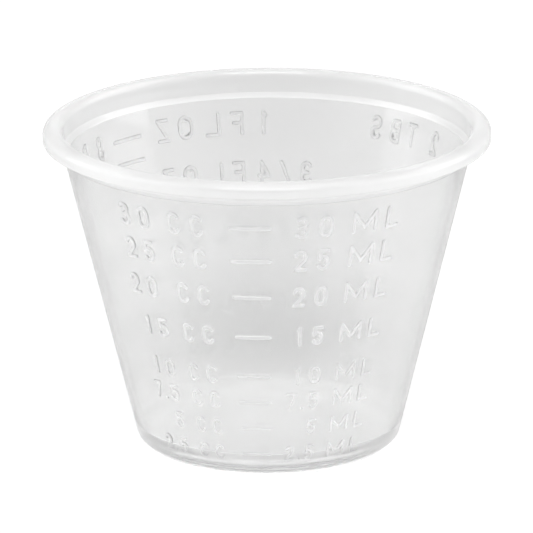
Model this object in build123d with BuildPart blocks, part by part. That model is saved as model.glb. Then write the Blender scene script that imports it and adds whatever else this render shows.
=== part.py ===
from build123d import *
import math
import os

os.makedirs("parts", exist_ok=True)

# Driving dimensions of the medicine cup, in millimetres and degrees
RIM_D = 50.0            # outer diameter of the lip
HEIGHT = 36.7           # base to crest of the lip
BASE_D = 29.0           # outer wall run on to the base plane
WALL_T = 0.6            # wall, square to its own surface
FLOOR_T = 0.8           # floor of the cup
OVERHANG = 1.52         # lip stands out this far from the wall run on to the crest
LIP_W = 2.2             # mouth to the lip's outer edge
LIP_T = 1.7             # crest down to the underside of the lip
LIP_DROP = 0.9          # crest down to the lip's outer edge
CREST_IN = 0.75         # crest in to the mouth
CREST_DROP = 0.5        # crest down to where the rounding meets the collar
LIP_BREAK = 0.12        # bevel of the lip's lower edge
COLLAR_T = 0.65         # thickness of the stacking collar
COLLAR_DRAFT = 0.15     # collar narrows by this much on its way down
STACK_GAP = 0.35        # nested cups rest this far above the point where walls wedge
LEDGE = 0.5             # height of the slanted ledge at the foot of the collar
CORNER_R = 1.9          # outside corner at the base
FLOOR_R = 2.2           # inside corner at the floor
RECESS = 0.3            # hollow under the base
FOOT_W = 2.2            # width of the ring the cup stands on
BAR_W = 0.6             # width of a graduation bar
BAR_RISE = 0.18         # height of a bar above the wall
BAR_ARC = 12.6          # length of a bar around the wall
FRONT_AZ = -5.0         # middle of the front bars, turned from the front
BACK_AZ = 227.0         # middle of the back bars, turned from the front

# Heights of the graduation bars above the base: millilitres from 30 down to 2.5
# on the front, eighths of a fluid ounce from 8 down to 1 on the back
FRONT_MARKS = (30.95, 26.9, 22.45, 17.55, 12.65, 9.5, 6.2, 3.0)
BACK_MARKS = (30.7, 28.1, 25.2, 22.1, 18.8, 15.1, 11.1, 6.5)

rim_r = RIM_D / 2
base_r = BASE_D / 2
mouth_r = rim_r - LIP_W
crest_r = mouth_r + CREST_IN
lip_under = HEIGHT - LIP_T

slope = (rim_r - OVERHANG - base_r) / HEIGHT
wall_run = WALL_T / math.cos(math.atan(slope))


def outer_radius(z):
    """Radius of the outer wall cone at height z."""
    return base_r + z * slope


def inner_radius(z):
    """Radius of the inner wall cone at height z."""
    return outer_radius(z) - wall_run


# The collar is as deep as the distance between nested cups, so each cup rests
# on the crest of the one below before their walls can wedge together
collar_foot = HEIGHT - wall_run / slope - STACK_GAP
collar_in = mouth_r - COLLAR_DRAFT
collar_out = collar_in + COLLAR_T
ledge_foot = collar_foot - COLLAR_DRAFT
floor_z = RECESS + FLOOR_T
foot_in = base_r - CORNER_R - FOOT_W

with BuildPart() as cup:
    # Body, turned from one closed section
    with BuildSketch(Plane.XZ) as section:
        with BuildLine():
            Polyline(
                (mouth_r, HEIGHT - CREST_DROP),
                (collar_in, ledge_foot + LEDGE),
                (inner_radius(ledge_foot), ledge_foot),
                (inner_radius(floor_z), floor_z),
                (0, floor_z),
                (0, RECESS),
                (foot_in - RECESS, RECESS),
                (foot_in, 0),
                (base_r, 0),
                (outer_radius(collar_foot), collar_foot),
                (collar_out, collar_foot + LEDGE),
                (collar_out, lip_under),
                (rim_r, lip_under),
                (rim_r, HEIGHT - LIP_DROP),
            )
            TangentArc((crest_r, HEIGHT), (rim_r, HEIGHT - LIP_DROP), tangent=(1, 0))
            TangentArc((crest_r, HEIGHT), (mouth_r, HEIGHT - CREST_DROP), tangent=(-1, 0))
        make_face()
        fillet(section.vertices().sort_by_distance((base_r, 0))[0], CORNER_R)
        fillet(section.vertices().sort_by_distance((inner_radius(floor_z), floor_z))[0], FLOOR_R)
        chamfer(section.vertices().sort_by_distance((rim_r, lip_under))[0], LIP_BREAK)
    revolve(axis=Axis.Z)

    # Graduation bars, each a low ridge around part of the wall. The scale reaches
    # as high as the plain wall does, so a lower cup has fewer of them
    half = BAR_W / 2
    crown = BAR_W / 4
    sink = wall_run / 2
    bars = [(z, FRONT_AZ) for z in FRONT_MARKS if z + half < collar_foot]
    bars += [(z, BACK_AZ) for z in BACK_MARKS if z + half < collar_foot]
    for z, azimuth in bars:
        with BuildSketch(Plane.XZ.rotated((0, 0, azimuth - 90 - BAR_ARC / 2))):
            with BuildLine():
                Polyline(
                    (outer_radius(z - half) - sink, z - half),
                    (outer_radius(z - half), z - half),
                    (outer_radius(z - crown) + BAR_RISE, z - crown),
                    (outer_radius(z + crown) + BAR_RISE, z + crown),
                    (outer_radius(z + half), z + half),
                    (outer_radius(z + half) - sink, z + half),
                    close=True,
                )
            make_face()
        revolve(axis=Axis.Z, revolution_arc=BAR_ARC)

cup.part.label = "cup"
export_step(cup.part, "parts/cup.step")
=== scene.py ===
"""Medicine cup of natural polypropylene, dressed and lit on a plain studio floor."""

import logging
import math
from dataclasses import dataclass, field
from enum import Enum

import bpy
import numpy as np
from mathutils import Matrix, Vector
from mathutils.geometry import delaunay_2d_cdt


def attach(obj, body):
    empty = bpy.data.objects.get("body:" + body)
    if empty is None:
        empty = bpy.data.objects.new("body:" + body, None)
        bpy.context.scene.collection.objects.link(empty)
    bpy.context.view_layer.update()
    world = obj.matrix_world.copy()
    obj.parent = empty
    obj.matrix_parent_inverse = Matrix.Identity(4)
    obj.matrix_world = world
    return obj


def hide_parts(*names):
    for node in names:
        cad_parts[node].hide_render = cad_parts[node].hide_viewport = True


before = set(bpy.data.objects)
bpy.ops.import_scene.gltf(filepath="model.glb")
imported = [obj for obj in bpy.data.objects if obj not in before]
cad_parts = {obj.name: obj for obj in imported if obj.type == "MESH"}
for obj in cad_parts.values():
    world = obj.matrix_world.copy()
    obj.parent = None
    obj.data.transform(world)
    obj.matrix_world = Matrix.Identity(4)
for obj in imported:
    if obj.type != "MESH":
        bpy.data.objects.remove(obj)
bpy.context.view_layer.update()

logging.basicConfig(level=logging.INFO, format="%(message)s")
log = logging.getLogger("medicine_cup")

MM = 0.001

GLYPH_STEP = 18.0     # degrees between the points of a figure's arcs
ROUNDING_STEP = 9.0   # degrees between the points of the section's roundings
STRAIGHT = 89.5       # a corner with half angles above this isn't rounded
SHARP_BEND = 25.0     # where a stroke turns by more degrees, it gets a fan of mesh points
FAN_STEP = 30.0       # degrees between the points of such a fan
TINY = 1e-9           # keeps a direction finite in the middle of a stroke

# The colour sockets of a Mix node, whose names its number sockets have too
MIX_A, MIX_B, MIX_RESULT = 6, 7, 2

Point = tuple[float, float]
Point3 = tuple[float, float, float]
Stroke = list[Point]
Face = list[int]
Tree = bpy.types.NodeTree
Socket = bpy.types.NodeSocket


class Side(Enum):
    """Which scale of the cup a row of figures belongs to."""

    FRONT = "millilitres and cubic centimetres"
    OUNCES = "fluid ounces and drams"
    SPOONS = "tablespoons and teaspoons"


def linear(hex_colour: str) -> tuple[float, float, float, float]:
    """Turns an sRGB hex colour into the linear colour that Blender's sockets take.

    Args:
        hex_colour: the colour as "#RRGGBB".

    Returns:
        Red, green, blue and an alpha of 1.
    """
    parts = [int(hex_colour[i:i + 2], 16) / 255 for i in (1, 3, 5)]
    red, green, blue = [
        part / 12.92 if part <= 0.04045 else ((part + 0.055) / 1.055) ** 2.4 for part in parts
    ]
    return red, green, blue, 1.0


def add_node(
    tree: Tree,
    kind: str,
    inputs: dict[str | int, object] | None = None,
    **settings: object,
) -> bpy.types.Node:
    """Adds one shader node with its settings, values and incoming links.

    Args:
        tree: the node tree it goes into.
        kind: Blender's name for the node's type, without its "ShaderNode".
        inputs: socket name or number, and the value set on it or the output that feeds it.
        **settings: properties of the node itself.

    Returns:
        The new node.
    """
    node = tree.nodes.new("ShaderNode" + kind)
    for name, value in settings.items():
        setattr(node, name, value)
    for socket, value in (inputs or {}).items():
        if isinstance(value, Socket):
            tree.links.new(value, node.inputs[socket])
        else:
            node.inputs[socket].default_value = value
    return node


def bow(cx: float, cy: float, rx: float, ry: float, start: float, end: float) -> Stroke:
    """Gives the points of an elliptic arc, for the round parts of a figure or letter.

    Args:
        cx: centre across.
        cy: centre up.
        rx: half width.
        ry: half height.
        start: first angle in degrees, anticlockwise from the right.
        end: last angle; smaller than start turns the arc clockwise.

    Returns:
        Points about GLYPH_STEP apart.
    """
    steps = max(2, round(abs(end - start) / GLYPH_STEP))
    angles = [math.radians(start + (end - start) * i / steps) for i in range(steps + 1)]
    return [(cx + rx * math.cos(a), cy + ry * math.sin(a)) for a in angles]


@dataclass(frozen=True)
class Lettering:
    """Single-stroke figures and letters in a box one wide and one high."""

    strokes: dict[str, list[Stroke]] = field(default_factory=lambda: {
        "0": [
            bow(0.5, 0.68, 0.5, 0.32, 0, 180) + bow(0.5, 0.32, 0.5, 0.32, 180, 360) + [(1, 0.68)],
        ],
        "1": [[(0, 0.86), (0.5, 1), (0.5, 0)]],
        "2": [bow(0.5, 0.7, 0.48, 0.3, 165, -35) + [(0, 0), (1, 0)]],
        "3": [
            bow(0.48, 0.755, 0.44, 0.245, 150, -90) + [(0.35, 0.51)],
            bow(0.48, 0.26, 0.5, 0.26, 90, -150),
        ],
        "4": [[(0.72, 0), (0.72, 1), (0, 0.3), (1, 0.3)]],
        "5": [[(0.92, 1), (0.14, 1), (0.06, 0.54)] + bow(0.47, 0.33, 0.5, 0.33, 128, -150)],
        "6": [bow(0.62, 0.4, 0.62, 0.6, 75, 180) + bow(0.5, 0.31, 0.5, 0.31, 180, 540)],
        "7": [[(0, 1), (1, 1), (0.35, 0)]],
        "8": [bow(0.5, 0.76, 0.42, 0.24, -90, 270), bow(0.5, 0.26, 0.5, 0.26, 90, 450)],
        "C": [bow(0.5, 0.68, 0.5, 0.32, 25, 180) + bow(0.5, 0.32, 0.5, 0.32, 180, 335)],
        "M": [[(0, 0), (0, 1), (0.5, 0.2), (1, 1), (1, 0)]],
        "L": [[(0, 1), (0, 0), (1, 0)]],
        "T": [[(0, 1), (1, 1)], [(0.5, 1), (0.5, 0)]],
        "B": [
            [(0, 0), (0, 1)] + bow(0.5, 0.77, 0.42, 0.23, 90, -90) + [(0, 0.54)],
            bow(0.5, 0.27, 0.5, 0.27, 90, -90) + [(0, 0)],
        ],
        "S": [bow(0.5, 0.75, 0.46, 0.25, 25, 270) + bow(0.5, 0.25, 0.48, 0.25, 90, -155)[1:]],
        "P": [[(0, 0), (0, 1)] + bow(0.5, 0.74, 0.48, 0.26, 90, -90) + [(0, 0.48)]],
        "F": [[(1, 1), (0, 1), (0, 0)], [(0, 0.52), (0.82, 0.52)]],
        "O": [
            bow(0.5, 0.66, 0.5, 0.34, 0, 180) + bow(0.5, 0.34, 0.5, 0.34, 180, 360) + [(1, 0.66)],
        ],
        "Z": [[(0, 1), (1, 1), (0, 0), (1, 0)]],
        "D": [[(0, 0), (0, 1)] + bow(0.4, 0.5, 0.6, 0.5, 90, -90) + [(0, 0)]],
        "R": [
            [(0, 0), (0, 1)] + bow(0.5, 0.75, 0.46, 0.25, 90, -90) + [(0, 0.5)],
            [(0.45, 0.5), (1, 0)],
        ],
        "/": [[(0, 0), (1, 1)]],
        ".": [[(0.5, 0), (0.5, 0.04)]],
    })


@dataclass(frozen=True)
class CupForm:
    """Sizes of the moulding in millimetres, and its section.

    They are the solid's, apart from a lip of 0.01 mm less in radius, which stays inside the
    solid's facets, and small roundings that the solid does without.
    """

    rim_r: float = 24.99
    height: float = 36.7
    base_r: float = 14.5        # outer wall run on to the base plane
    wall_t: float = 0.6         # wall, square to its own surface
    floor_t: float = 0.8
    overhang: float = 1.51      # lip stands out this far from the wall run on to the crest
    lip_w: float = 2.19         # mouth to the lip's outer edge
    lip_t: float = 1.7          # crest down to the underside of the lip
    lip_drop: float = 0.9       # crest down to the lip's outer edge
    crest_in: float = 0.75      # crest in to the mouth
    lip_upper_r: float = 0.12   # rounding between the collar and the lip's underside
    lip_lower_r: float = 0.15   # rounding of the lip's lower edge
    collar_t: float = 0.65
    collar_draft: float = 0.15  # collar narrows by this much on its way down
    stack_gap: float = 0.35     # nested cups rest this far above the point where walls wedge
    ledge: float = 0.5          # height of the slanted ledge at the foot of the collar
    ledge_r: float = 0.2        # rounding of the ledge's edges
    seat_r: float = 0.3         # rounding where the ledge meets the inner wall
    corner_r: float = 1.9       # outside corner at the base
    floor_r: float = 2.2        # inside corner at the floor
    recess: float = 0.3         # hollow under the base
    recess_r: float = 0.15
    foot_w: float = 2.2         # width of the ring the cup stands on
    foot_r: float = 0.12        # rounding of the ring's inner edge

    @property
    def slope(self) -> float:
        """Growth of the wall's radius per height."""
        return (self.rim_r - self.overhang - self.base_r) / self.height

    @property
    def taper(self) -> float:
        """Half angle of the wall's cone in radians."""
        return math.atan(self.slope)

    @property
    def collar_foot(self) -> float:
        """Height at which the collar's ledge starts on the outside."""
        return self.height - self.wall_t / math.sin(self.taper) - self.stack_gap

    def outer_radius(self, z: float) -> float:
        """Radius of the outer wall cone at height z."""
        return self.base_r + z * self.slope

    def inner_radius(self, z: float) -> float:
        """Radius of the inner wall cone at height z."""
        return self.outer_radius(z) - self.wall_t / math.cos(self.taper)


def rounded(corners: list[Point3]) -> list[Point]:
    """Rounds the corners of a run of straight lines with arcs.

    Args:
        corners: radius, height and rounding radius of each corner; the first and last stay
            sharp.

    Returns:
        Points of the rounded run, the arcs' points at most ROUNDING_STEP apart.
    """
    path = [corners[0][:2]]
    for before, corner, after in zip(corners, corners[1:], corners[2:]):
        here = Vector(corner[:2])
        to_before = (Vector(before[:2]) - here).normalized()
        to_after = (Vector(after[:2]) - here).normalized()
        half = to_before.angle(to_after) / 2
        if corner[2] == 0 or half > math.radians(STRAIGHT):
            path.append(tuple(here))
            continue
        reach = corner[2] / math.tan(half)
        centre = here + (to_before + to_after).normalized() * corner[2] / math.sin(half)
        start = here + to_before * reach - centre
        sweep = start.angle_signed(here + to_after * reach - centre)
        steps = max(2, math.ceil(abs(sweep) / math.radians(ROUNDING_STEP)))
        for i in range(steps + 1):
            path.append(tuple(centre + Matrix.Rotation(-sweep * i / steps, 2) @ start))
    path.append(corners[-1][:2])
    return path


@dataclass(frozen=True)
class Row:
    """One graduation: its height, its words with their places, its bar and its relief.

    The relief is the share of the ridges' full rise. It is less in the rows near the base.
    """

    side: Side
    z: float
    words: tuple[tuple[float, str], ...]
    bar: bool = True
    relief: float = 1.0


@dataclass(frozen=True)
class Columns:
    """Where each column of words stands: azimuth of the last glyph's middle from the front."""

    left_amount: float = -37.9
    left_amount_20: float = -39.4   # the 20 stands a little further out than the others
    cc: float = -20.5
    right_amount: float = 16.9
    ml: float = 38.4
    ounces: float = 181.0
    fl: float = 196.5
    oz: float = 212.9
    drams: float = 240.1
    dr: float = 257.0
    spoons: float = 119.9
    spoon: float = 145.3


# The rows from the top down. In front: height in millimetres, amount and relief
FRONT_ROWS = (
    (30.95, "30", 1.0), (26.9, "25", 1.0), (22.45, "20", 1.0), (17.55, "15", 1.0),
    (12.65, "10", 0.8), (9.5, "7.5", 0.65), (6.2, "5", 0.65), (3.0, "2.5", 0.85),
)
# Height, fluid ounces and drams; every eighth has a bar, and not every bar has words
OUNCE_ROWS = (
    (30.7, "1", "8"), (28.1, "", ""), (25.2, "3/4", "6"), (22.1, "", ""),
    (18.8, "1/2", "4"), (15.1, "", ""), (11.1, "1/4", "2"), (6.5, "1/8", "1"),
)
# Height, amount and kind of spoon
SPOON_ROWS = (
    (31.1, "2", "TBS"), (18.8, "1", "TBS"), (13.8, "2", "TSP"), (8.1, "1", "TSP"),
    (4.8, "1/2", "TSP"),
)


@dataclass(frozen=True)
class Ridge:
    """Section of a raised stroke, in millimetres: a low ridge with a flat top."""

    rise: float = 0.16
    top: float = 0.08
    foot: float = 0.30
    slack: float = 0.012        # mesh points may lie this much nearer to another stroke

    @property
    def offsets(self) -> Point3:
        """Distances from the stroke's middle at which the mesh gets points."""
        return self.top, (self.top + self.foot) / 2, self.foot

    def height(self, distance: np.ndarray) -> tuple[np.ndarray, np.ndarray]:
        """Gives the ridge's height and fall at a distance from the stroke.

        Args:
            distance: distances from the middle of the nearest stroke.

        Returns:
            Heights and their slopes, both falling smoothly to nothing at the foot.
        """
        t = np.clip((distance - self.top) / (self.foot - self.top), 0, 1)
        fall = -6 * t * (1 - t) / (self.foot - self.top)
        return self.rise * (1 - t * t * (3 - 2 * t)), self.rise * fall


@dataclass
class VolumeScale:
    """The moulded scale: bars, figures and letters that stand up from the outer wall."""

    form: CupForm
    letters: Lettering = field(default_factory=Lettering)
    columns: Columns = field(default_factory=Columns)
    ridge: Ridge = field(default_factory=Ridge)
    letter_h: float = 2.35      # lowest to highest stroke, middle to middle, in the top row
    top_row: float = 30.95      # height of that row; lower rows shrink with the wall
    bar_arc: float = 11.2       # bar length in degrees, without its round ends
    front_bar: float = -5.0     # azimuth of the bars' middle
    back_bar: float = 227.0
    gap: float = 4.1            # space between two glyphs in degrees
    point_gap: float = 2.5      # space beside a decimal point
    pitch: float = 0.3          # spacing of the mesh points along a stroke
    narrow: dict[str, float] = field(default_factory=lambda: {
        "1": 1.2, "M": 7.0, "L": 3.8, "/": 2.4, ".": 0.4, "O": 3.9, "Z": 3.4,
    })
    plain: float = 3.0          # width of all other figures and letters in degrees

    def rows(self) -> list[Row]:
        """Lists every graduation of the cup.

        Returns:
            The rows of the three scales, each from the top down.
        """
        rows = []
        at = self.columns
        for z, amount, relief in FRONT_ROWS:
            left = at.left_amount_20 if amount == "20" else at.left_amount
            words = ((left, amount), (at.cc, "CC"), (at.right_amount, amount), (at.ml, "ML"))
            rows.append(Row(Side.FRONT, z, words, relief=relief))
        for z, amount, drams in OUNCE_ROWS:
            words = ((at.ounces, amount), (at.fl, "FL"), (at.oz, "OZ"),
                     (at.drams, drams), (at.dr, "DR"))
            rows.append(Row(Side.OUNCES, z, words if amount else ()))
        for z, amount, unit in SPOON_ROWS:
            words = ((at.spoons, amount), (at.spoon, unit))
            rows.append(Row(Side.SPOONS, z, words, bar=False))
        return rows

    def width(self, glyph: str) -> float:
        """Width of a figure or letter in degrees, between the middles of its strokes."""
        return self.narrow.get(glyph, self.plain)

    def word(self, end: float, text: str, z: float) -> list[Stroke]:
        """Lays out a word so that the middle of its last glyph stands at an azimuth.

        Args:
            end: azimuth of the last glyph's middle, in degrees from the front.
            text: the word.
            z: height of the row's middle.

        Returns:
            Strokes in surface millimetres: along the wall's circle at this row, and up its
            slant.
        """
        r = self.form.outer_radius(z)
        lean = math.cos(self.form.taper)
        high = self.letter_h * r / self.form.outer_radius(self.top_row)
        strokes = []
        centre, last = end, ""
        for glyph in reversed(text):
            wide = self.width(glyph)
            if last:
                gap = self.point_gap if "." in (glyph, last) else self.gap
                centre -= (wide + self.width(last)) / 2 + gap
            last = glyph
            for stroke in self.letters.strokes[glyph]:
                strokes.append([
                    (math.radians(centre + (x - 0.5) * wide) * r, z / lean + (y - 0.5) * high)
                    for x, y in stroke
                ])
        return strokes

    def bar(self, azimuth: float, z: float) -> Stroke:
        """Gives the stroke of a graduation bar.

        Args:
            azimuth: the bar's middle, in degrees from the front.
            z: its height.

        Returns:
            Both ends in surface millimetres.
        """
        r = self.form.outer_radius(z)
        ends = (azimuth - self.bar_arc / 2, azimuth + self.bar_arc / 2)
        return [(math.radians(a) * r, z / math.cos(self.form.taper)) for a in ends]


@dataclass
class Patch:
    """Strokes that share one row and one relief: the wall is taken as flat across them."""

    radius: float
    strokes: list[Stroke]
    relief: float = 1.0

    def segments(self) -> tuple[np.ndarray, np.ndarray]:
        """Cuts the strokes into straight pieces.

        Returns:
            Start points and end points of the pieces.
        """
        starts = [p for stroke in self.strokes for p in stroke[:-1]]
        ends = [p for stroke in self.strokes for p in stroke[1:]]
        return np.array(starts), np.array(ends)

    def close(self, points: np.ndarray, reach: float) -> np.ndarray:
        """Picks the points that may lie within reach of the strokes.

        Args:
            points: places in surface millimetres.
            reach: how far the box around the strokes is widened.

        Returns:
            Numbers of the points in that box.
        """
        corners = np.array([p for stroke in self.strokes for p in stroke])
        inside = (points > corners.min(0) - reach) & (points < corners.max(0) + reach)
        return np.flatnonzero(np.all(inside, axis=1))

    def nearest(self, points: np.ndarray) -> tuple[np.ndarray, np.ndarray]:
        """Finds how far points lie from the strokes, and in which direction.

        Args:
            points: places in surface millimetres.

        Returns:
            Distances, and unit vectors away from the nearest stroke.
        """
        a, b = self.segments()
        run = b - a
        along = np.einsum("psk,sk->ps", points[:, None] - a, run) / (run ** 2).sum(1)
        away = points[:, None] - (a + np.clip(along, 0, 1)[..., None] * run)
        distance = np.linalg.norm(away, axis=2)
        best = distance.argmin(1)
        pick = np.arange(len(points))
        distance = distance[pick, best]
        return distance, away[pick, best] / np.maximum(distance, TINY)[:, None]

    def samples(self, ridge: Ridge, pitch: float) -> np.ndarray:
        """Places mesh points along both flanks of every stroke, and around its ends and bends.

        Args:
            ridge: section of the strokes.
            pitch: spacing along the strokes.

        Returns:
            Points in surface millimetres.
        """
        found = []
        for stroke in self.strokes:
            for a, b in zip(stroke, stroke[1:]):
                a, b = np.array(a), np.array(b)
                run = b - a
                steps = max(1, math.ceil(np.linalg.norm(run) / pitch))
                side = np.array([-run[1], run[0]]) / np.linalg.norm(run)
                for i in range(steps + 1):
                    here = a + run * i / steps
                    for offset in ridge.offsets:
                        found.append((*(here + side * offset), offset))
                        found.append((*(here - side * offset), offset))
            for tip in (stroke[0], stroke[-1], *self.bends(stroke)):
                for angle in np.radians(np.arange(0, 360, FAN_STEP)):
                    turn = np.array([math.cos(angle), math.sin(angle)])
                    found += [(*(np.array(tip) + turn * offset), offset)
                              for offset in ridge.offsets]
        found = np.array(found)
        distance, _ = self.nearest(found[:, :2])
        return found[distance > found[:, 2] - ridge.slack, :2]

    @staticmethod
    def bends(stroke: Stroke) -> list[Point]:
        """Gives the points at which a stroke turns by more than SHARP_BEND.

        Args:
            stroke: the stroke.

        Returns:
            Those of its inner points.
        """
        bends = []
        for a, b, c in zip(stroke, stroke[1:], stroke[2:]):
            before, after = Vector(b) - Vector(a), Vector(c) - Vector(b)
            if before.length and after.length and before.angle(after) > math.radians(SHARP_BEND):
                bends.append(b)
        return bends


@dataclass(frozen=True)
class NaturalPolypropylene:
    """Natural polypropylene, injection moulded.

    Uncoloured, it is milky: what lies close behind the wall shows through, what lies
    further off blurs away, and the polished mould leaves a soft, slightly uneven gloss.
    The thicker the moulding, the more of the milk shows.
    """

    name: str
    transmission: float
    smoothest: float            # roughness where the haze is least
    roughest: float             # and where it is most
    shade: str = "#FFFFFF"
    haze: str = "#FDFDFD"
    ior: float = 1.49
    haze_mm: float = 9.0        # size of the cloudy patches that the melt leaves
    haze_detail: float = 3.0
    haze_range: Point = (0.3, 0.7)  # the noise's values that stand for least and most haze
    flow_mm: float = 5.0        # width of the low waves of the mould's polish
    flow_detail: float = 1.0
    flow_rise_mm: float = 0.01
    grain_mm: float = 0.35      # mould texture; the real one is finer and wouldn't show
    grain_detail: float = 2.0
    grain_rise_mm: float = 0.001

    def material(self) -> bpy.types.Material:
        """Builds the material.

        Returns:
            A Principled material with haze, uneven gloss and a faint waviness.
        """
        material = bpy.data.materials.new(self.name)
        material.use_nodes = True
        tree = material.node_tree
        tree.nodes.clear()
        place = add_node(tree, "TexCoord").outputs["Object"]
        noises = (
            (self.haze_mm, self.haze_detail), (self.flow_mm, self.flow_detail),
            (self.grain_mm, self.grain_detail),
        )
        haze, flow, grain = [
            add_node(tree, "TexNoise", {
                "Vector": place, "Scale": 1 / (size * MM), "Detail": detail,
            }).outputs["Fac"] for size, detail in noises
        ]
        tint = add_node(tree, "Mix", {
            "Factor": haze, MIX_A: linear(self.shade), MIX_B: linear(self.haze),
        }, data_type="RGBA")
        gloss = add_node(tree, "MapRange", {
            "Value": haze, "From Min": self.haze_range[0], "From Max": self.haze_range[1],
            "To Min": self.smoothest, "To Max": self.roughest,
        })
        waves = add_node(tree, "Bump", {
            "Strength": 1.0, "Distance": self.flow_rise_mm * MM, "Height": flow,
        })
        skin = add_node(tree, "Bump", {
            "Strength": 1.0, "Distance": self.grain_rise_mm * MM, "Height": grain,
            "Normal": waves.outputs["Normal"],
        })
        shader = add_node(tree, "BsdfPrincipled", {
            "IOR": self.ior, "Transmission Weight": self.transmission,
            "Base Color": tint.outputs[MIX_RESULT], "Roughness": gloss.outputs["Result"],
            "Normal": skin.outputs["Normal"],
        })
        add_node(tree, "OutputMaterial", {"Surface": shader.outputs["BSDF"]})
        return material


class Part(Enum):
    """The parts of the moulding that differ in how milky they look, by material number."""

    WALL = 0
    FIGURES = 1
    LIP = 2
    BASE = 3


# What each finish gives the eye: the thin wall lets the floor through with a soft blur, the
# crowns of the figures are whiter, a painted highlight along the ridges, the thick lip shines
# and the base is milkier and glows in the painted pool of light under it
FINISHES = {
    Part.WALL: NaturalPolypropylene("natural_polypropylene_thin_wall", 0.85, 0.1, 0.14),
    Part.FIGURES: NaturalPolypropylene("natural_polypropylene_figures_painted_highlight", 0.68, 0.17, 0.22),
    Part.LIP: NaturalPolypropylene("natural_polypropylene_thick_lip", 0.42, 0.08, 0.12),
    Part.BASE: NaturalPolypropylene("natural_polypropylene_base", 0.5, 0.14, 0.2),
}


@dataclass
class WallSheet:
    """The outer wall with its raised scale: places, normals and triangles in millimetres."""

    places: np.ndarray
    normals: np.ndarray
    heights: np.ndarray         # how high the strokes stand at each vertex
    faces: list[Face]


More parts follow.
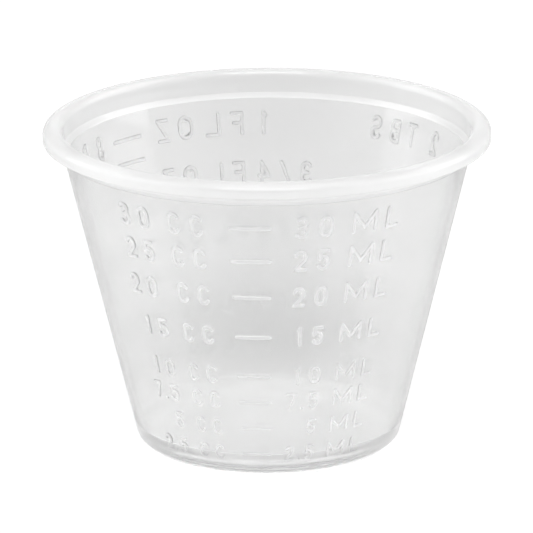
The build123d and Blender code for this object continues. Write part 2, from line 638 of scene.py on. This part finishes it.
@dataclass
class MouldedCup:
    """The cup itself: one moulding with lip, collar, wall, scale, floor and foot ring."""

    form: CupForm
    scale: VolumeScale
    around: int = 240           # facets around the cup
    seam: float = 80.0          # azimuth at which the wall's sheet is closed
    sheet_radius: float = 20.0  # radius at which the sheet is laid out flat
    sheet_gap: float = 0.1      # the sheet ends this far below the collar's ledge
    grid: float = 1.15          # spacing of the mesh points on plain wall
    clear: float = 0.25         # and their least distance from the foot of a stroke
    apart: float = 0.03         # mesh points on strokes are at least about this far apart
    merge: float = 1e-5         # points closer than this are one to the triangulation
    weld: float = 0.002         # vertices closer than this become one
    rings: tuple[int, ...] = (30, 25, 20, 15, 10, 5)  # heights of rings on the inner wall
    crown: float = 0.45         # share of the ridge's rise above which it counts as figure, milkier as painted highlight
    lip_gap: float = 0.2        # the lip's finish starts this far below the ledge
    base_top: float = 3.0       # height up to which the inside and the underside are base

    @property
    def wall_foot(self) -> float:
        """Height at which the base corner ends and the straight wall starts."""
        half = (math.pi / 2 - self.form.taper) / 2
        return self.form.corner_r * math.tan(half) * math.cos(self.form.taper)

    @property
    def wall_top(self) -> float:
        """Height at which the straight wall ends below the collar's ledge."""
        return self.form.collar_foot - self.sheet_gap

    def lip(self) -> list[Point]:
        """Gives the section of the lip.

        Returns:
            Radius and height of points from its outer edge over the crest to the mouth.
        """
        f = self.form
        crest_r = f.rim_r - f.lip_w + f.crest_in
        edge = f.height - f.lip_drop
        steps = round(90 / ROUNDING_STEP)
        quarter = [math.radians(ROUNDING_STEP * i) for i in range(steps + 1)]
        outside = [
            (crest_r + (f.rim_r - crest_r) * math.cos(a), edge + f.lip_drop * math.sin(a))
            for a in quarter
        ]
        inside = [
            (crest_r - f.crest_in * math.sin(a), edge + f.lip_drop * math.cos(a))
            for a in quarter[1:]
        ]
        return outside + inside

    def upper_path(self) -> list[Point]:
        """Gives the section from the top of the outer wall over the lip to the floor.

        Returns:
            Radius and height of its points, the last one on the axis.
        """
        f = self.form
        mouth_r = f.rim_r - f.lip_w
        collar_in = mouth_r - f.collar_draft
        collar_out = collar_in + f.collar_t
        under = f.height - f.lip_t
        ledge_foot = f.collar_foot - f.collar_draft
        floor_z = f.recess + f.floor_t
        outside = rounded([
            (f.outer_radius(self.wall_top), self.wall_top, 0),
            (f.outer_radius(f.collar_foot), f.collar_foot, f.ledge_r),
            (collar_out, f.collar_foot + f.ledge, f.ledge_r),
            (collar_out, under, f.lip_upper_r),
            (f.rim_r, under, f.lip_lower_r),
            (f.rim_r, f.height - f.lip_drop, 0),
        ])
        inside = rounded([
            (mouth_r, f.height - f.lip_drop, 0),
            (collar_in, ledge_foot + f.ledge, f.ledge_r),
            (f.inner_radius(ledge_foot), ledge_foot, f.seat_r),
            *[(f.inner_radius(z), z, 0) for z in self.rings],
            (f.inner_radius(floor_z), floor_z, f.floor_r),
            (f.inner_radius(floor_z) / 2, floor_z, 0),
            (0, floor_z, 0),
        ])
        return outside[:-1] + self.lip() + inside[1:]

    def lower_path(self) -> list[Point]:
        """Gives the section from the middle of the base recess to the foot of the wall.

        Returns:
            Radius and height of its points, the first one on the axis.
        """
        f = self.form
        foot_in = f.base_r - f.corner_r - f.foot_w
        return rounded([
            (0, f.recess, 0),
            (foot_in / 2, f.recess, 0),
            (foot_in - f.recess, f.recess, f.recess_r),
            (foot_in, 0, f.foot_r),
            (f.base_r, 0, f.corner_r),
            (f.outer_radius(self.wall_foot), self.wall_foot, 0),
        ])

    def patches(self) -> list[Patch]:
        """Turns every row of the scale into strokes on the wall.

        Returns:
            One patch for each word or bar, all of them on the same turn of the sheet.
        """
        patches = []
        for row in self.scale.rows():
            radius = self.form.outer_radius(row.z)
            groups = [self.scale.word(end, text, row.z) for end, text in row.words]
            if row.bar:
                front = row.side is Side.FRONT
                middle = self.scale.front_bar if front else self.scale.back_bar
                groups.append([self.scale.bar(middle, row.z)])
            for strokes in groups:
                last = max(x for stroke in strokes for x, _ in stroke)
                back = math.tau * radius if last > math.radians(self.seam) * radius else 0
                moved = [[(x - back, y) for x, y in stroke] for stroke in strokes]
                patches.append(Patch(radius, moved, row.relief))
        return patches

    def wall_points(self, patches: list[Patch]) -> np.ndarray:
        """Chooses the mesh points of the outer wall's sheet.

        Args:
            patches: the raised strokes.

        Returns:
            Azimuth in degrees and height in millimetres of each point, the border first.
        """
        lean = math.cos(self.form.taper)
        low, high = self.wall_foot, self.wall_top
        left = self.seam - 360
        ring = left + 360 * np.arange(self.around + 1) / self.around
        levels = np.linspace(low, high, round((high - low) / self.grid) + 1)
        border = [(a, z) for z in (low, high) for a in ring]
        border += [(a, z) for z in levels[1:-1] for a in (left, self.seam)]
        step = 360 / round(360 / math.degrees(self.grid / self.sheet_radius))
        inner = np.array([
            (a + (step / 2 if i % 2 else 0), z) for i, z in enumerate(levels[1:-1])
            for a in np.arange(left + step, self.seam - step, step)
        ])
        keep = np.ones(len(inner), bool)
        reach = self.scale.ridge.foot + self.clear
        strokes = []
        for patch in patches:
            flat = np.column_stack([np.radians(inner[:, 0]) * patch.radius, inner[:, 1] / lean])
            near = patch.close(flat, reach)
            distance, _ = patch.nearest(flat[near])
            keep[near[distance < reach]] = False
            found = patch.samples(self.scale.ridge, self.scale.pitch)
            azimuth = np.degrees(found[:, 0] / patch.radius)
            strokes.append(np.column_stack([azimuth, found[:, 1] * lean]))
        strokes = np.concatenate(strokes)
        cell = np.column_stack([np.radians(strokes[:, 0]) * self.sheet_radius, strokes[:, 1]])
        _, first = np.unique(np.round(cell / self.apart), axis=0, return_index=True)
        return np.concatenate([np.array(border), inner[keep], strokes[np.sort(first)]])

    def relief(
        self, azimuth: np.ndarray, z: np.ndarray, patches: list[Patch],
    ) -> tuple[np.ndarray, np.ndarray]:
        """Finds how high the strokes stand on the wall, and how steep they are.

        Args:
            azimuth: azimuths of places on the wall, in radians.
            z: heights of those places.
            patches: the raised strokes.

        Returns:
            Heights above the wall, and slopes along the wall's circle and up its slant.
        """
        height, tilt = np.zeros(len(z)), np.zeros((len(z), 2))
        for patch in patches:
            local = np.column_stack([azimuth * patch.radius, z / math.cos(self.form.taper)])
            near = patch.close(local, self.scale.ridge.foot)
            distance, away = patch.nearest(local[near])
            tall, fall = (v * patch.relief for v in self.scale.ridge.height(distance))
            better = tall > height[near]
            height[near[better]] = tall[better]
            tilt[near[better]] = away[better] * fall[better, None]
        return height, tilt

    def wall_sheet(self) -> WallSheet:
        """Builds the outer wall with its raised scale.

        Returns:
            The sheet, closed at the seam but not yet welded there.
        """
        patches = self.patches()
        lean, rise = math.cos(self.form.taper), math.sin(self.form.taper)
        points = self.wall_points(patches)
        flat = [Vector((math.radians(a) * self.sheet_radius, z / lean)) for a, z in points]
        verts, _, faces, _, _, _ = delaunay_2d_cdt(flat, [], [], 0, self.merge, False)
        flat = np.array(verts)
        azimuth, z = flat[:, 0] / self.sheet_radius, flat[:, 1] * lean
        height, tilt = self.relief(azimuth, z, patches)
        sin, cos = np.sin(azimuth), np.cos(azimuth)
        out = np.column_stack([sin * lean, -cos * lean, np.full(len(z), -rise)])
        around = np.column_stack([cos, sin, np.zeros(len(z))])
        up = np.column_stack([sin * rise, -cos * rise, np.full(len(z), lean)])
        r = self.form.base_r + z * self.form.slope
        places = np.column_stack([sin * r, -cos * r, z]) + out * height[:, None]
        normals = out - around * tilt[:, :1] - up * tilt[:, 1:]
        normals /= np.linalg.norm(normals, axis=1)[:, None]
        return WallSheet(places, normals, height, [list(face) for face in faces])

    def lathe(self, path: list[Point], first: int) -> tuple[np.ndarray, list[Face]]:
        """Turns a section around the axis.

        Args:
            path: radius and height of the section's points; a radius of 0 becomes one vertex.
            first: number of the first vertex.

        Returns:
            Vertex places, and faces.
        """
        azimuths = np.radians(self.seam - 360 + 360 * np.arange(self.around) / self.around)
        verts, rings = [], []
        for r, z in path:
            start = first + len(verts)
            if r == 0:
                verts.append((0, 0, z))
                rings.append([start] * self.around)
            else:
                verts += [(r * math.sin(a), -r * math.cos(a), z) for a in azimuths]
                rings.append(list(range(start, start + self.around)))
        faces = []
        for low, high in zip(rings, rings[1:]):
            for i in range(self.around):
                j = (i + 1) % self.around
                faces.append(list(dict.fromkeys((low[i], low[j], high[j], high[i]))))
        return np.array(verts), faces

    def welded(self, verts: np.ndarray, faces: list[Face]) -> list[Face]:
        """Joins the vertices that lie together.

        Args:
            verts: places of the vertices in millimetres.
            faces: the faces before that.

        Returns:
            The faces in the same order, with the first vertex of each place in them.
        """
        key = np.round(verts / self.weld).astype(int)
        _, first, same = np.unique(key, axis=0, return_index=True, return_inverse=True)
        same = first[same.ravel()]
        return [list(dict.fromkeys(int(same[v]) for v in face)) for face in faces]

    def part_at(self, r: float, z: float, relief: float | None) -> Part:
        """Tells which part of the moulding a face belongs to.

        Args:
            r: distance of the face's middle from the axis.
            z: height of the face's middle.
            relief: least height of its corners above the outer wall, or None elsewhere.

        Returns:
            The part.
        """
        if relief is not None and relief > self.scale.ridge.rise * self.crown:
            # the crowns take the figures' milkier finish, a painted highlight along the ridges
            return Part.FIGURES
        if z > self.form.collar_foot - self.lip_gap:
            return Part.LIP
        if z < self.base_top and r < self.form.inner_radius(z) + self.form.wall_t / 2:
            return Part.BASE
        return Part.WALL

    def dress(self, mesh: bpy.types.Mesh, used: list[int], sheet: WallSheet) -> None:
        """Gives each face the material of its part, and the wall its ridges' exact normals.

        Args:
            mesh: the cup's mesh, the sheet's faces first.
            used: number that each vertex had before welding, when the sheet's came first.
            sheet: the outer wall.
        """
        mesh.polygons.foreach_set("use_smooth", [True] * len(mesh.polygons))
        wall = len(sheet.places)
        exact = np.zeros((len(mesh.loops), 3))
        for polygon in mesh.polygons:
            corners = [used[v] for v in polygon.vertices]
            relief = sheet.heights[corners].min() if max(corners) < wall else None
            middle = polygon.center / MM
            polygon.material_index = self.part_at(middle.xy.length, middle.z, relief).value
            if polygon.index < len(sheet.faces):
                for loop, corner in zip(polygon.loop_indices, corners):
                    if corner < wall:
                        exact[loop] = sheet.normals[corner]
        mesh.normals_split_custom_set(exact.tolist())
        for finish in FINISHES.values():
            mesh.materials.append(finish.material())

    def build(self) -> bpy.types.Object:
        """Builds the moulding as one closed mesh and dresses it.

        Returns:
            The cup's object, standing for the solid of the frame.
        """
        sheet = self.wall_sheet()
        wall = len(sheet.places)
        upper, upper_faces = self.lathe(self.upper_path(), wall)
        lower, lower_faces = self.lathe(self.lower_path(), wall + len(upper))
        verts = np.concatenate([sheet.places, upper, lower])
        faces = self.welded(verts, sheet.faces + upper_faces + lower_faces)
        used = sorted({v for face in faces for v in face})
        number = {v: i for i, v in enumerate(used)}
        faces = [[number[v] for v in face] for face in faces]
        mesh = bpy.data.meshes.new("cup_moulded")
        mesh.from_pydata([tuple(verts[v] * MM) for v in used], [], faces)
        mesh.validate()
        self.dress(mesh, used, sheet)
        cup = bpy.data.objects.new("cup_moulded", mesh)
        bpy.context.scene.collection.objects.link(cup)
        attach(cup, "root")
        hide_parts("cup")
        log.info("cup_moulded: %d vertices, %d faces", len(mesh.vertices), len(mesh.polygons))
        return cup


@dataclass(frozen=True)
class Softbox:
    """A soft rectangular lamp, its place and size in metres."""

    name: str
    place: Point3
    size: Point
    radiance: float             # brightness of its face, where 1 is the white of the world

    def build(self, target: Point3) -> bpy.types.Object:
        """Adds the lamp.

        Args:
            target: the point it faces.

        Returns:
            The lamp's object.
        """
        light = bpy.data.lights.new(self.name, "AREA")
        light.shape = "RECTANGLE"
        light.size, light.size_y = self.size
        light.energy = self.radiance * math.pi * self.size[0] * self.size[1]
        lamp = bpy.data.objects.new(self.name, light)
        lamp.location = self.place
        aim = Vector(target) - Vector(self.place)
        lamp.rotation_euler = aim.to_track_quat("-Z", "Y").to_euler()
        lamp.visible_camera = False
        bpy.context.scene.collection.objects.link(lamp)
        return lamp


@dataclass
class Studio:
    """Plain pale floor, white surroundings and three soft lamps.

    The eye sees white all round, less a share of the floor that can carry a faint shadow. Rays
    that pass through the clear wall or mirror in it meet a paper with painted light: a painted
    pool of light under the cup, bright in front of it, and painted shade with a painted shadow of
    the cup behind it; and a room that is darker on the camera's side, so that the wall keeps its
    own soft greys.
    """

    floor_size: float = 6.0      # in metres
    floor_drop_mm: float = 0.02  # keeps the floor and the foot ring apart
    paper: str = "#C8C8C8"       # the paper as it lights the cup
    paper_seen: str = "#606060"  # the share of the seen paper that carries the shadow
    glow_seen: float = 0.92      # what brings the seen paper up to white
    glow_matt: float = 0.5       # the paper's glow for the light that falls on matt things
    glow_front: float = 0.42     # and as the wall shows it: in front of the cup,
    painted_shade_rear: float = 0.17      # behind it, painted shade
    painted_light_under: float = 0.97     # and under it, a painted pool of light
    front_mm: float = -12.0      # the glow falls into painted shade from here
    rear_mm: float = 45.0        # to here
    painted_light_radius_mm: float = 14.2       # radius of the painted pool of light under the cup
    edge_mm: float = 0.6         # width of its soft edge
    painted_shadow: float = 0.28            # painted shadow of the cup: how much dimmer the middle of the patch behind the cup is
    painted_shadow_y_mm: float = 44.0       # how far behind the axis that middle is
    painted_shadow_half_mm: Point = (24.0, 47.0)   # the painted shadow's half width and half length
    fill: float = 0.64           # how much of the world's white lights the object
    card: float = 0.45           # brightness of the room on the camera's side
    card_way: Point3 = (0.0, -0.98, 0.17)   # where that side is
    card_edge: Point = (0.6, 0.97)   # cosines between which the room darkens
    target: Point3 = (0.0, 0.0, 0.018)   # the lamps face this
    lamps: tuple[Softbox, ...] = (
        Softbox("softbox_left", (-0.7, 0.1, 0.4), (0.7, 0.8), 1.8),
        Softbox("softbox_right", (0.7, 0.1, 0.4), (0.7, 0.8), 1.8),
        Softbox("softbox_top", (0.0, -0.42, 0.66), (0.5, 0.25), 5.5),
    )

    def white_rays(self, tree: Tree, rays: bpy.types.NodeOutputs) -> Socket:
        """Tells the rays that show the surroundings from those that light things.

        Args:
            tree: the node tree that asks.
            rays: the outputs of its Light Path node.

        Returns:
            1 for camera, glossy and transmission rays, and 0 for the others.
        """
        seen = rays["Is Camera Ray"]
        for kind in ("Is Glossy Ray", "Is Transmission Ray"):
            seen = add_node(tree, "Math", {0: seen, 1: rays[kind]}, operation="MAXIMUM").outputs[0]
        return seen

    def painted_shadow_patch(self, tree: Tree, place: Socket) -> Socket:
        """Gives the painted shadow of the cup on the paper behind it, as a soft oval.

        Args:
            tree: the floor's node tree.
            place: coordinates on the floor, in metres.

        Returns:
            1 outside the oval, falling smoothly towards its middle.
        """
        wide, long = (half * MM for half in self.painted_shadow_half_mm)
        moved = add_node(tree, "Mapping", {
            "Vector": place, "Location": (0.0, -self.painted_shadow_y_mm * MM, 0.0),
        })
        oval = add_node(tree, "VectorMath", {
            0: moved.outputs[0], 1: (1 / wide, 1 / long, 0.0),
        }, operation="MULTIPLY")
        reach = add_node(tree, "VectorMath", {0: oval.outputs[0]}, operation="LENGTH")
        return add_node(tree, "MapRange", {
            "Value": reach.outputs["Value"], "To Min": 1.0 - self.painted_shadow, "To Max": 1.0,
        }, interpolation_type="SMOOTHERSTEP").outputs["Result"]

    def floor_glow(self, tree: Tree, place: Socket, rays: bpy.types.NodeOutputs) -> Socket:
        """Gives the strength of the paper's glow for all rays but those from the eye: a painted
        pool of light under the cup and painted shade behind it.

        Args:
            tree: the floor's node tree.
            place: coordinates on the floor, in metres.
            rays: the outputs of its Light Path node.

        Returns:
            The strength.
        """
        back = add_node(tree, "SeparateXYZ", {0: place}).outputs["Y"]
        away = add_node(tree, "VectorMath", {0: place}, operation="LENGTH").outputs["Value"]
        # painted shade: the glow falls from in front of the cup to behind it
        painted_shade_behind = add_node(tree, "MapRange", {
            "Value": back, "From Min": self.front_mm * MM, "From Max": self.rear_mm * MM,
            "To Min": self.glow_front, "To Max": self.painted_shade_rear,
        }, interpolation_type="SMOOTHSTEP")
        clear = add_node(tree, "MapRange", {
            "Value": self.white_rays(tree, rays), "To Min": self.glow_matt,
            "To Max": painted_shade_behind.outputs["Result"],
        })
        # a painted pool of light under the cup, for all rays but the eye's
        return add_node(tree, "MapRange", {
            "Value": away, "From Min": self.painted_light_radius_mm * MM,
            "From Max": (self.painted_light_radius_mm + self.edge_mm) * MM,
            "To Min": self.painted_light_under, "To Max": clear.outputs["Result"],
        }).outputs["Result"]

    def floor_material(self) -> bpy.types.Material:
        """Builds the matt white paper of the floor.

        Returns:
            A diffuse paper with a glow, both white to the eye.
        """
        material = bpy.data.materials.new("matt_white_paper")
        material.use_nodes = True
        tree = material.node_tree
        tree.nodes.clear()
        place = add_node(tree, "TexCoord").outputs["Object"]
        rays = add_node(tree, "LightPath").outputs
        eye = rays["Is Camera Ray"]
        # a painted shadow of the cup behind it, on the paper's glow and colour for all rays but
        # the eye's
        painted_shadow = self.painted_shadow_patch(tree, place)
        painted_shadow_glow = add_node(tree, "Math", {
            0: self.floor_glow(tree, place, rays), 1: painted_shadow,
        }, operation="MULTIPLY")
        glow = add_node(tree, "MapRange", {
            "Value": eye, "To Min": painted_shadow_glow.outputs[0], "To Max": self.glow_seen,
        })
        shade = add_node(tree, "Mix", {
            "Factor": eye, MIX_A: linear(self.paper), MIX_B: linear(self.paper_seen),
        }, data_type="RGBA")
        # the painted shadow dims the paper's colour for all rays but the eye's
        strength = add_node(tree, "Math", {0: painted_shadow, 1: eye}, operation="MAXIMUM")
        painted_shadow_paper = add_node(tree, "VectorMath", {
            0: shade.outputs[MIX_RESULT], "Scale": strength.outputs[0],
        }, operation="SCALE")
        paper = add_node(tree, "BsdfDiffuse", {"Color": painted_shadow_paper.outputs[0]})
        light = add_node(tree, "Emission", {"Strength": glow.outputs["Result"]})
        both = add_node(tree, "AddShader", {0: paper.outputs[0], 1: light.outputs[0]})
        add_node(tree, "OutputMaterial", {"Surface": both.outputs[0]})
        return material

    def floor(self) -> bpy.types.Object:
        """Builds the floor, white to the eye.

        Returns:
            The floor's object, which is part of the stage.
        """
        half = self.floor_size / 2
        mesh = bpy.data.meshes.new("studio_floor")
        corners = [(-half, -half, 0), (half, -half, 0), (half, half, 0), (-half, half, 0)]
        mesh.from_pydata(corners, [], [(0, 1, 2, 3)])
        mesh.materials.append(self.floor_material())
        floor = bpy.data.objects.new("studio_floor", mesh)
        floor.location.z = -self.floor_drop_mm * MM
        bpy.context.scene.collection.objects.link(floor)
        return floor

    def surroundings(self) -> None:
        """Sets the world: white where it is seen, plain soft light where it falls on things."""
        world = bpy.data.worlds.new("white_studio")
        bpy.context.scene.world = world
        world.use_nodes = True
        tree = world.node_tree
        tree.nodes.clear()
        way = add_node(tree, "TexCoord").outputs["Generated"]
        rays = add_node(tree, "LightPath").outputs
        side = add_node(tree, "VectorMath", {0: way, 1: self.card_way}, operation="DOT_PRODUCT")
        room = add_node(tree, "MapRange", {
            "Value": side.outputs["Value"], "From Min": self.card_edge[0],
            "From Max": self.card_edge[1], "To Min": 1.0, "To Max": self.card,
        })
        lit = add_node(tree, "MapRange", {
            "Value": self.white_rays(tree, rays), "To Min": self.fill,
            "To Max": room.outputs["Result"],
        })
        level = add_node(tree, "MapRange", {
            "Value": rays["Is Camera Ray"], "To Min": lit.outputs["Result"], "To Max": 1.0,
        })
        back = add_node(tree, "Background", {"Strength": level.outputs["Result"]})
        add_node(tree, "OutputWorld", {"Surface": back.outputs[0]})

    def build(self) -> None:
        """Builds the floor, the surroundings and the lamps."""
        self.floor()
        self.surroundings()
        for lamp in self.lamps:
            lamp.build(self.target)
        log.info("studio: floor, surroundings and %d softboxes", len(self.lamps))


@dataclass
class StudioCamera:
    """The camera at the photograph's viewing angle, fitted to the cup's outline and marks."""

    elevation: float = 16.73     # degrees above the horizon
    distance: float = 0.75       # metres from the aim
    aim: Point3 = (-0.000129, 0.0, 0.02004)
    roll: float = -0.326         # degrees
    lens: float = 451.76
    sensor: float = 36.0
    clip: Point = (0.01, 20.0)   # metres between which things are drawn

    def build(self) -> bpy.types.Object:
        """Places the camera and makes it the scene's.

        Returns:
            The camera's object.
        """
        data = bpy.data.cameras.new("photo_camera")
        data.sensor_width = self.sensor
        data.lens = self.lens
        data.clip_start, data.clip_end = self.clip
        camera = bpy.data.objects.new("photo_camera", data)
        rise = math.radians(self.elevation)
        away = Vector((0, -math.cos(rise), math.sin(rise))) * self.distance
        place = Vector(self.aim) + away
        turn = (-away).to_track_quat("-Z", "Y").to_matrix().to_4x4()
        roll = Matrix.Rotation(math.radians(self.roll), 4, "Z")
        camera.matrix_world = Matrix.Translation(place) @ turn @ roll
        bpy.context.scene.collection.objects.link(camera)
        bpy.context.scene.camera = camera
        log.info("photo_camera: %.2f degrees up, %.0f mm away", self.elevation, self.distance / MM)
        return camera


def main() -> None:
    """Builds the camera, the studio and the cup."""
    bpy.context.scene.view_settings.view_transform = "Standard"
    StudioCamera().build()
    Studio().build()
    form = CupForm()
    MouldedCup(form, VolumeScale(form)).build()


if __name__ == "__main__":
    main()
